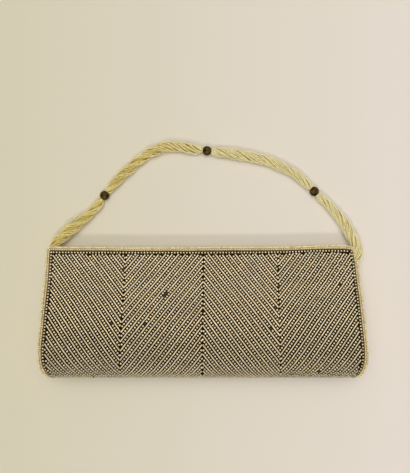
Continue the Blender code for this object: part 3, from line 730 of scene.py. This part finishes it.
def makeCover(side, start, end, body):
    # the backing cloth, the dotted line inside the edging, and the zigzag in its four parts
    seam, step = cover["seam"], cover["rowStep"]
    if side == "front":
        zigzag, dotS = (cover["start"], end - seam), start + cover["dotDown"]
    else:
        zigzag, dotS = (start + seam, pathEnd - cover["start"]), end - cover["dotDown"]
    panelSheet(f"{side}Cloth", start, end, bag["sideEdge"] + bag["fit"], cover["clothDepth"],
               bag["coverThick"], "darkCloth", body, "beaded_cloth", f"{side}_beaded_cover")
    s = np.arange(start + step, end - step, step)
    edge, half = (halfWidth(onPath(at)[0]) - cover["dotRow"] for at in (s, dotS))
    x = np.linspace(-1, 1, 200) * (half - cover["dotShort"])
    dotLine(f"{side}DotLine", [(-edge, s), (edge, s), (x, np.full(len(x), dotS))], body)
    left, peak, right = cover["valleyLeft"], cover["peak"], cover["valleyRight"]
    wall = bag["widest"] / 2
    zones = {"OuterLeft": (left, -wall, peak - left, -1), "InnerLeft": (peak, left, 0, 1),
             "InnerRight": (peak, right, 0, 1), "OuterRight": (right, wall, right - peak, -1)}
    for word, zone in zones.items():
        coverBeads(f"{side}Beads{word}", zone, zigzag, body)


topStart = bag["topEdge"] + bag["fit"]
for side, start, end, body in halves(topStart):
    makeCover(side, start, end, body)
    print(side, "cover made")


# The cream edging: a folded tape with rows of seed beads along each edge.

edging = {
    "core": np.array([(0.7, 0.85), (3.3, 0.85), (3.3, 1.75), (1.1, 1.75), (1.1, 3.85),
                      (0.7, 3.85)]) * mm,  # (inset from the edge, depth under the face)
    # inset, depth and bead radius in mm, how light the row is, and how full of beads
    "topRows": [(0.76, 0.78, 0.78, 1.0, 0.97), (2.25, 0.84, 0.7, 0.9, 0.86),
                (0.7, 2.6, 0.8, 1.0, 0.97)],
    "sideRows": [(0.76, 0.8, 0.74, 0.95, 0.9), (2.2, 0.85, 0.62, 0.95, 0.85),
                 (0.6, 2.5, 0.75, 1.0, 0.97)],
    "pitch": 1.68 * mm, "ripple": 0.15 * mm, "rippleWaves": (19 * mm, 7.3 * mm),
    "corner": 3.5 * mm, "sideStep": 1.0 * mm,
    "tone": (0.98, 0.84, 0.50), "dull": (0.66, 0.52, 0.26),
}


def edgeTones(count, light=1.0):
    # dull + (tone - dull) * share, where the beads' shares scatter about three quarters
    share = np.clip(dice.normal(0.75, 0.3, count), 0, 1)[:, None]
    tone, dull = np.array(edging["tone"]), np.array(edging["dull"])
    return (dull + (tone - dull) * share) * light * (1 + jitter(count, 0.06))[:, None]


def mouthRipple(x):
    # the mouth's edge is not quite straight: a long wave and half as much of a short one
    long, short = edging["rippleWaves"]
    return edging["ripple"] * (np.sin(x / long + 0.6) + 0.5 * np.sin(x / short))


def edgeStrip(name, node, place, out, rows, body):
    # place(inset, depth) gives a line of points along the edge; the tape's outline and every
    # bead row are such lines
    core = np.stack([place(*spot) for spot in edging["core"]], axis=1)
    first = core[0]
    turn = np.cross(first[1] - first[0], first[2] - first[1]) @ (core[1, 0] - first[0])
    ringsPiece(name + "Tape", core, "edgeTape", body, "cream_beads", node, flip=turn < 0)
    parts = [strandBeads(place(inset * mm, depth * mm), out, radius * mm, edging["pitch"],
                         lambda n: edgeTones(n, light), "seed", fill)
             for inset, depth, radius, light, fill in rows]
    meshPiece(name + "Beads", joined(parts), "edgeBeads", body, "cream_beads")


def sideEdging(side, word, start, end, body):
    # down the path at an even inset: x = half width - inset, to the left or the right
    s = np.arange(start, end, edging["sideStep"])
    hand = -1 if word == "left" else 1

    def place(inset, depth):
        return panelPoint(hand * (halfWidth(onPath(s)[0]) - inset), s, depth)

    edgeStrip(f"{side}Edging{word.title()}", f"{side}_side_binding_{word}", place,
              panelNormal(s), edging["sideRows"], body)


def topEdging(side, body):
    # up round one corner, along the mouth and down round the other
    face, facing = (bag["mouthDepth"], 1) if side == "front" else (0, -1)
    bend, half = edging["corner"], bag["mouthWidth"] / 2
    turn = np.linspace(0, math.pi / 2, 9)
    flat = np.linspace(-1, 1, 222)[1:-1] * (half - bend)
    cos, sin = np.cos(turn), np.sin(turn)
    reach = np.concatenate([-cos, flat * 0, cos[::-1]])
    lift = np.concatenate([sin, flat * 0 + 1, sin[::-1]])
    middle = np.concatenate([cos * 0 - half + bend, flat, cos * 0 + half - bend])

    def place(inset, depth):
        x = middle + (bend - inset) * reach
        y = topY - bend + (bend - inset) * lift + mouthRipple(x)
        return settled(x, y, face - facing * depth)

    edgeStrip(f"{side}EdgingTop", f"{side}_top_binding", place, (0, 0.3, facing),
              edging["topRows"], body)


for side, start, end, body in halves(topStart):
    for word in ("left", "right"):
        sideEdging(side, word, start, end, body)
    topEdging(side, body)
print("edging made")


# The folding ends: each a half-elliptic fold between the panels, deepest at the mouth.

gusset = {
    "thick": 0.8 * mm, "liningThick": 0.4 * mm, "inset": 1.6 * mm, "topGap": 0.8 * mm,
    "mouthFold": 15 * mm, "baseFold": 2 * mm, "levels": 60, "columns": 33, "least": 0.05 * mm,
    "beadRadius": 0.85 * mm, "beadPitch": 1.9 * mm, "beadOut": 0.75 * mm, "beadColumns": 80,
    "beadTop": 2 * mm, "beadFoot": 1.5 * mm, "beadEdge": 0.03,
}


def innerHeights(y, depth):
    # z of the front's and the back's inner face at a depth, at heights y up the bag
    heights = []
    for s in (np.linspace(0, pathSeam, 400), np.linspace(pathSeam, pathEnd, 400)):
        at, z, ny, nz = onPath(s)
        at, z = at - depth * ny, z - depth * nz
        order = np.lexsort((np.abs(s - pathSeam), at))
        heights.append(np.interp(y, at[order], z[order]))
    return heights


def gussetSurface(hand, y, across, under, thick, apart):
    # ellipse: x = side edge - sin(pi a) * fold, z = middle - cos(pi a) * tall, moved out by apart
    high, low = innerHeights(y, bag["panelThick"] + under + thick / 2)
    top, foldEnd = topY - gusset["topGap"], bag["frontBend"]
    share = np.clip((y - foldEnd) / (top - foldEnd), 0, 1)
    fold = gusset["baseFold"] + (gusset["mouthFold"] - gusset["baseFold"]) * share
    tall = (high - low) / 2
    y, across, fold, tall = y[:, None], across[None], fold[:, None], tall[:, None]
    reach, rise = np.sin(math.pi * across), -np.cos(math.pi * across)
    steep = np.maximum(np.hypot((tall - apart) * reach, fold * rise), gusset["least"])
    x = hand * (halfWidth(y) - gusset["inset"] - reach * (fold + apart * (tall - apart) / steep))
    z = (high + low)[:, None] / 2 + rise * (tall - apart + apart * fold / steep)
    return settled(x, y, z)


def gussetNormal(sheet, hand):
    # square to the sheet's steps along the fold and down it
    return hand * unit(np.cross(np.gradient(sheet, axis=1), np.gradient(sheet, axis=0)))


def blendGusset(piece):
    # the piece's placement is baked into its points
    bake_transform(piece)


def makeGusset(word):
    # cloth and lining, half a thickness to each side of their surfaces, then the rows of beads
    hand = -1 if word == "left" else 1
    across = np.linspace(0, 1, gusset["columns"])
    fit = bag["fit"]
    thick, liningThick = gusset["thick"], gusset["liningThick"]
    clothUnder = liningThick + 2 * fit
    for kind, under, thin, apart, finish, slot, node in (
            ("Cloth", clothUnder, thick, 0, "gussetCloth", "gusset_cloth", "gusset"),
            ("Lining", fit, liningThick, (thick + liningThick) / 2 + fit, "satin",
             "lining_satin", "gusset_lining")):
        lowest = bag["panelThick"] + under + thin / 2 + fit - topY
        y = np.linspace(topY - gusset["topGap"], lowest, gusset["levels"])
        sheet = gussetSurface(hand, y, across, under, thin, apart)
        aside = gussetNormal(sheet, hand) * (thin / 2)
        skin = np.concatenate([sheet + aside, (sheet - aside)[:, ::-1]], axis=1)
        blendGusset(ringsPiece(f"gusset{kind}{word.title()}", skin, finish, None, slot,
                               f"{node}_{word}", flip=hand > 0))
    y = np.arange(topY - gusset["beadTop"], lowest + gusset["beadFoot"], -gusset["beadPitch"])
    across = np.linspace(gusset["beadEdge"], 1 - gusset["beadEdge"], gusset["beadColumns"])
    sheet = gussetSurface(hand, y, across, clothUnder, thick, 0)
    normal, middle = gussetNormal(sheet, hand), gusset["beadColumns"] // 2
    outer = normal * np.sign(normal[:, middle:middle + 1, :1] * hand)  # towards the outside
    parts = [strandBeads(line, out, gusset["beadRadius"], gusset["beadPitch"], edgeTones)
             for line, out in zip(sheet + outer * gusset["beadOut"], outer)]
    blendGusset(meshPiece(f"gussetBeads{word.title()}", joined(parts), "edgeBeads", None,
                          "gusset_cloth"))


for word in ("left", "right"):
    makeGusset(word)
print("gussets made")


# The inside: satin linings, a slip pocket with a hemmed mouth, and the magnetic snap.

inside = {
    "seat": 4.2 * mm, "patchHalf": (11 * mm, 7.5 * mm), "patchThick": 0.8 * mm,
    "patchRounding": 3 * mm, "patchEdge": 0.4 * mm, "stitchInset": 1.2 * mm,
    "stitchRounding": 2 * mm, "hemStitchUp": 0.8 * mm, "hemStitchEnd": 2 * mm,
    "snapY": 40.5 * mm, "snapRadius": 6.5 * mm, "nub": 3 * mm, "recess": 3.5 * mm,
    "nubLength": 2.2 * mm, "rim": 0.5 * mm, "clearance": 0.5 * mm, "studShare": 0.3,
    "soft": 0.18 * mm, "centre": 0.2 * mm, "snapSides": 48,
    # the groove round the recess and the nub: how far outside it, and how deep
    "socketGroove": np.array([(0.9, 0), (1.05, 0.15), (1.3, 0.15), (1.45, 0)]) * mm,
    "studGroove": np.array([(1.2, 0), (1.0, 0.15), (0.7, 0.15), (0.5, 0)]) * mm,
    "pocketHalf": 65 * mm, "pocketBase": -24 * mm, "pocketThick": 0.5 * mm,
    "pocketRounding": 6 * mm, "pocketEdge": 0.3 * mm, "pocketGap": 0.7 * mm,
    "hemHeight": 4 * mm, "hemThick": 1.0 * mm, "hemRounding": 0.5 * mm,
    "ripple": 0.12 * mm, "rippleWave": 7 * mm, "padRim": 0.25,
    "stitch": 2.4 * mm, "stitchRadius": 0.17 * mm, "stitchTone": (0.8, 0.71, 0.5),
}


def padSheet(name, low, high, rounding, edge, wave, finish, body, slot, node):
    # a flat sheet between two corners: x = u * half width, drawn in round each corner, and its
    # faces part from the mid-plane by half the thickness times sqrt(1 - (1 - edge distance)^2)
    low, high = np.array(low, float), np.array(high, float)
    half, height, thick = (high - low) * (0.5, 1, 0.5)
    bend = rounding / height * np.linspace(0, 1, 9) ** 2
    along = np.unique(np.concatenate([np.linspace(0, 1, 31), bend, 1 - bend]))
    y = low[1] + height * along
    inwards = np.minimum(y - low[1], high[1] - y)
    near = np.clip(1 - inwards / rounding, 0, 1)
    half = (half - rounding * (1 - np.sqrt(1 - near * near)))[:, None]
    x = half * np.sin(math.pi / 2 * np.linspace(-1, 1, 49))
    distance = np.minimum(half - np.abs(x), inwards[:, None])
    swell = np.sqrt(1 - (1 - np.clip(distance / edge, 0, 1)) ** 2)
    middle = (high[2] + low[2]) / 2
    ripple = wave * np.sin(x / inside["rippleWave"]) * np.sin(math.pi * along)[:, None] ** 0.5
    rise = thick * (inside["padRim"] + (1 - inside["padRim"]) * swell)
    y = np.broadcast_to(y[:, None], x.shape)
    skin = np.concatenate([np.stack([x, y, middle + rise + ripple * swell], axis=-1),
                           np.stack([x, y, middle - rise], axis=-1)[:, ::-1]], axis=1)
    ringsPiece(name, skin, finish, body, slot, node, flip=True)


def stitches(name, line, facing, body, slot):
    # short thread stitches along a line, each a little loaf lying on the cloth
    part = strandBeads(line, (0, 0, facing), inside["stitchRadius"], inside["stitch"],
                       lambda n: np.tile(inside["stitchTone"], (n, 1)), "stitch")
    meshPiece(name, part, "edgeBeads", body, slot)


def roundedLoop(half, centre, z, rounding):
    # the outline of a patch: straight sides with quarter circles at the corners
    quarter = np.linspace(0, 1, 12)
    turn = (np.arange(4)[:, None] + quarter) * math.pi / 2
    way = np.stack([np.cos(turn), np.sin(turn)], axis=-1)
    sign = np.sign(way.mean(axis=1, keepdims=True))
    spots = (sign * (np.array(half) - rounding) + way * rounding + centre).reshape(-1, 2)
    spots = np.vstack([spots, spots[:1]])
    return np.column_stack([spots, np.full(len(spots), z)])


def makeSheets():
    # the lining and the board of each panel
    wrap, depth = bag["wrap"], bag["boardDepth"]
    for side, start, end, body in halves(wrap):
        panelSheet(f"{side}Lining", start, end, wrap, bag["liningDepth"], bag["panelThick"],
                   "satin", body, "lining_satin", f"{side}_lining", inside["ripple"])
    frontBend = float(np.interp(-bag["frontBend"], -pathRows[:60, 0], pathGone[:60]))
    backEnd = pathEnd - topY + bag["backBoardEnd"]
    for side, node, start, end, body in (
            ("front", "front_board", wrap, frontBend, "front"),
            ("rear", "back_board", backEnd, pathEnd - wrap, "root")):
        panelSheet(f"{side}Board", start, end, wrap, depth, depth + bag["boardThick"], "board",
                   body, "board", node)
    for slot in bpy.data.objects["base_board"].material_slots:
        slot.material = finishes["board"]


def makeSnap():
    # a stitched patch on each lining, and on it half of the snap: a plate with a nub, and a ring
    # with a recess that takes the nub
    y, (wide, tall) = inside["snapY"], inside["patchHalf"]
    thick, fit, inset = inside["patchThick"], bag["fit"], inside["stitchInset"]
    lowSeat, highSeat = inside["seat"], bag["mouthDepth"] - inside["seat"]
    for side, low, face, facing, body in (
            ("socket", lowSeat, lowSeat + thick, 1, "root"),
            ("stud", highSeat - thick, highSeat - thick, -1, "front")):
        padSheet(f"{side}Patch", (-wide, y - tall, low), (wide, y + tall, low + thick),
                 inside["patchRounding"], inside["patchEdge"], 0, "leather", body,
                 "patch_leather", f"snap_{side}_patch")
        loop = roundedLoop((wide - inset, tall - inset), (0, y), face, inside["stitchRounding"])
        stitches(f"{side}PatchStitches", loop, facing, body, "patch_leather")
    socketSeat, studSeat = lowSeat + thick + fit, highSeat - thick - fit
    room = studSeat - socketSeat - fit
    plate, height = room * inside["studShare"], room * (1 - inside["studShare"])
    radius, rim, nub, recess, soft, centre, tip = (inside[key] for key in (
        "snapRadius", "rim", "nub", "recess", "soft", "centre", "nubLength"))
    floor = height - tip - inside["clearance"]
    socket = [(centre, floor), (recess - soft, floor), (recess, floor + soft),
              (recess, height - soft), (recess + soft, height),
              *[(recess + out, height - deep) for out, deep in inside["socketGroove"]],
              (radius - rim, height), (radius - soft, height - soft), (radius, height - rim),
              (radius, soft), (radius - soft, 0), (centre, 0)]
    stud = [(centre, plate), (radius - soft, plate), (radius, plate - soft), (radius, rim),
            (radius - soft, soft), (radius - rim, 0),
            *[(nub + out, deep) for out, deep in inside["studGroove"]],
            (nub, 0), (nub, -tip + 2 * soft), (nub - soft, -tip + 0.6 * soft),
            (nub - 2 * soft, -tip), (centre, -tip)]
    for word, profile, seat, body in (("socket", socket, socketSeat, "root"),
                                      ("stud", stud, studSeat - plate, "front")):
        turnedPiece("snap" + word.title(), profile[::-1], (0, y, seat), (0, 0, 1),
                    inside["snapSides"], "gilt", body, "snap_metal", f"snap_{word}")


def makePocket():
    # the panel, and over it the hem with its line of stitches
    mouth = inside["snapY"] - inside["patchHalf"][1] - inside["pocketGap"]
    hem, seat, half = mouth - inside["hemHeight"], inside["seat"], inside["pocketHalf"]
    top, rounding = seat + inside["hemThick"], inside["hemRounding"]
    padSheet("pocketPanel", (-half, inside["pocketBase"], seat),
             (half, hem - bag["fit"], seat + inside["pocketThick"]),
             inside["pocketRounding"], inside["pocketEdge"], inside["ripple"], "satin", "root",
             "lining_satin", "pocket_panel")
    padSheet("pocketHem", (-half, hem, seat), (half, mouth, top), rounding, rounding, 0, "satin",
             "root", "lining_satin", "pocket_hem")
    reach = half - inside["hemStitchEnd"]
    line = np.broadcast_arrays(np.linspace(-reach, reach, 80), hem + inside["hemStitchUp"], top)
    stitches("hemStitches", np.column_stack(line), 1, "root", "lining_satin")


makeSheets()
makeSnap()
makePocket()
print("inside made")


# The floor, the lamp and the sky. The floor is greenish on the left and pinkish on the right.

stage = {"half": 1.5, "left": (0.676, 0.625, 0.475), "right": (0.79, 0.722, 0.65),
             "blendTo": 0.15, "horizon": 0.18, "zenith": 7.15, "narrow": 20.0,
             "lampFrom": (-0.04, 0.15, 0.988), "sky": (1, 0.99, 0.965), "wall": (0.86, 0.83, 0.76),
             "sun": 0.6, "sunSize": 8.0, "sunFrom": (-0.1, -0.5, 0.9), "sunTone": (1, 0.98, 0.94)}


def makeFloor():
    # a flat square, its tone blended evenly from -reach to reach across it
    half, reach = stage["half"], stage["blendTo"]
    mesh = bpy.data.meshes.new("floor")
    mesh.from_pydata([(-half, -half, 0), (half, -half, 0), (half, half, 0), (-half, half, 0)],
                     [], [(0, 1, 2, 3)])
    finish, tree, shader = newFinish("pale paper floor", 0.8, specular=0.2)
    split = addNode(tree, "SeparateXYZ", {"Vector": objectPlace(tree)})
    span = addNode(tree, "MapRange", {"Value": split.outputs["X"], "From Min": -reach,
                                      "From Max": reach})
    feed(shader, {"Base Color": colourRamp(tree, span.outputs["Result"],
                                           [(0, stage["left"]), (1, stage["right"])])})
    mesh.materials.append(finish)
    linked("floor", mesh)


def makeRoom():
    # the room's light: horizon + (zenith - horizon) * nearness^narrow, where nearness is the
    # cosine of the angle from the ceiling lamp; the camera, mirrors and glass see a pale wall
    world = bpy.data.worlds.new("soft room")
    world.use_nodes = True
    tree = world.node_tree
    near = addNode(tree, "VectorMath", {0: addNode(tree, "TexCoord", {}).outputs["Generated"],
                                        1: stage["lampFrom"]}, operation="DOT_PRODUCT")
    peak = maths(tree, "POWER", maths(tree, "MAXIMUM", near.outputs["Value"], 0),
                 stage["narrow"])
    level = addNode(tree, "MapRange", {"Value": peak, "To Min": stage["horizon"],
                                       "To Max": stage["zenith"]})
    sky = feed(tree.nodes["Background"], {"Color": (*stage["sky"], 1),
                                          "Strength": level.outputs["Result"]})
    wall = addNode(tree, "Background", {"Color": (*stage["wall"], 1)})
    sight = addNode(tree, "LightPath", {}).outputs
    seen = sight["Is Camera Ray"]
    for ray in "Is Glossy Ray", "Is Transmission Ray":
        seen = maths(tree, "MAXIMUM", seen, sight[ray])
    blend = addNode(tree, "MixShader", {"Fac": seen, 1: sky.outputs["Background"],
                                        2: wall.outputs["Background"]})
    feed(tree.nodes["World Output"], {"Surface": blend.outputs["Shader"]})
    bpy.context.scene.world = world


def makeSun():
    # a soft sun, turned to shine from where it stands to the origin
    lamp = bpy.data.lights.new("window", "SUN")
    lamp.energy = stage["sun"]
    lamp.angle = math.radians(stage["sunSize"])
    lamp.color = stage["sunTone"]
    window = linked("window", lamp)
    x, y, z = window.location = stage["sunFrom"]
    window.rotation_euler = (math.atan2(math.hypot(x, y), z), 0, math.atan2(x, -y))


makeFloor()
makeRoom()
makeSun()
bpy.context.scene.view_settings.view_transform = "Standard"
print("stage made")
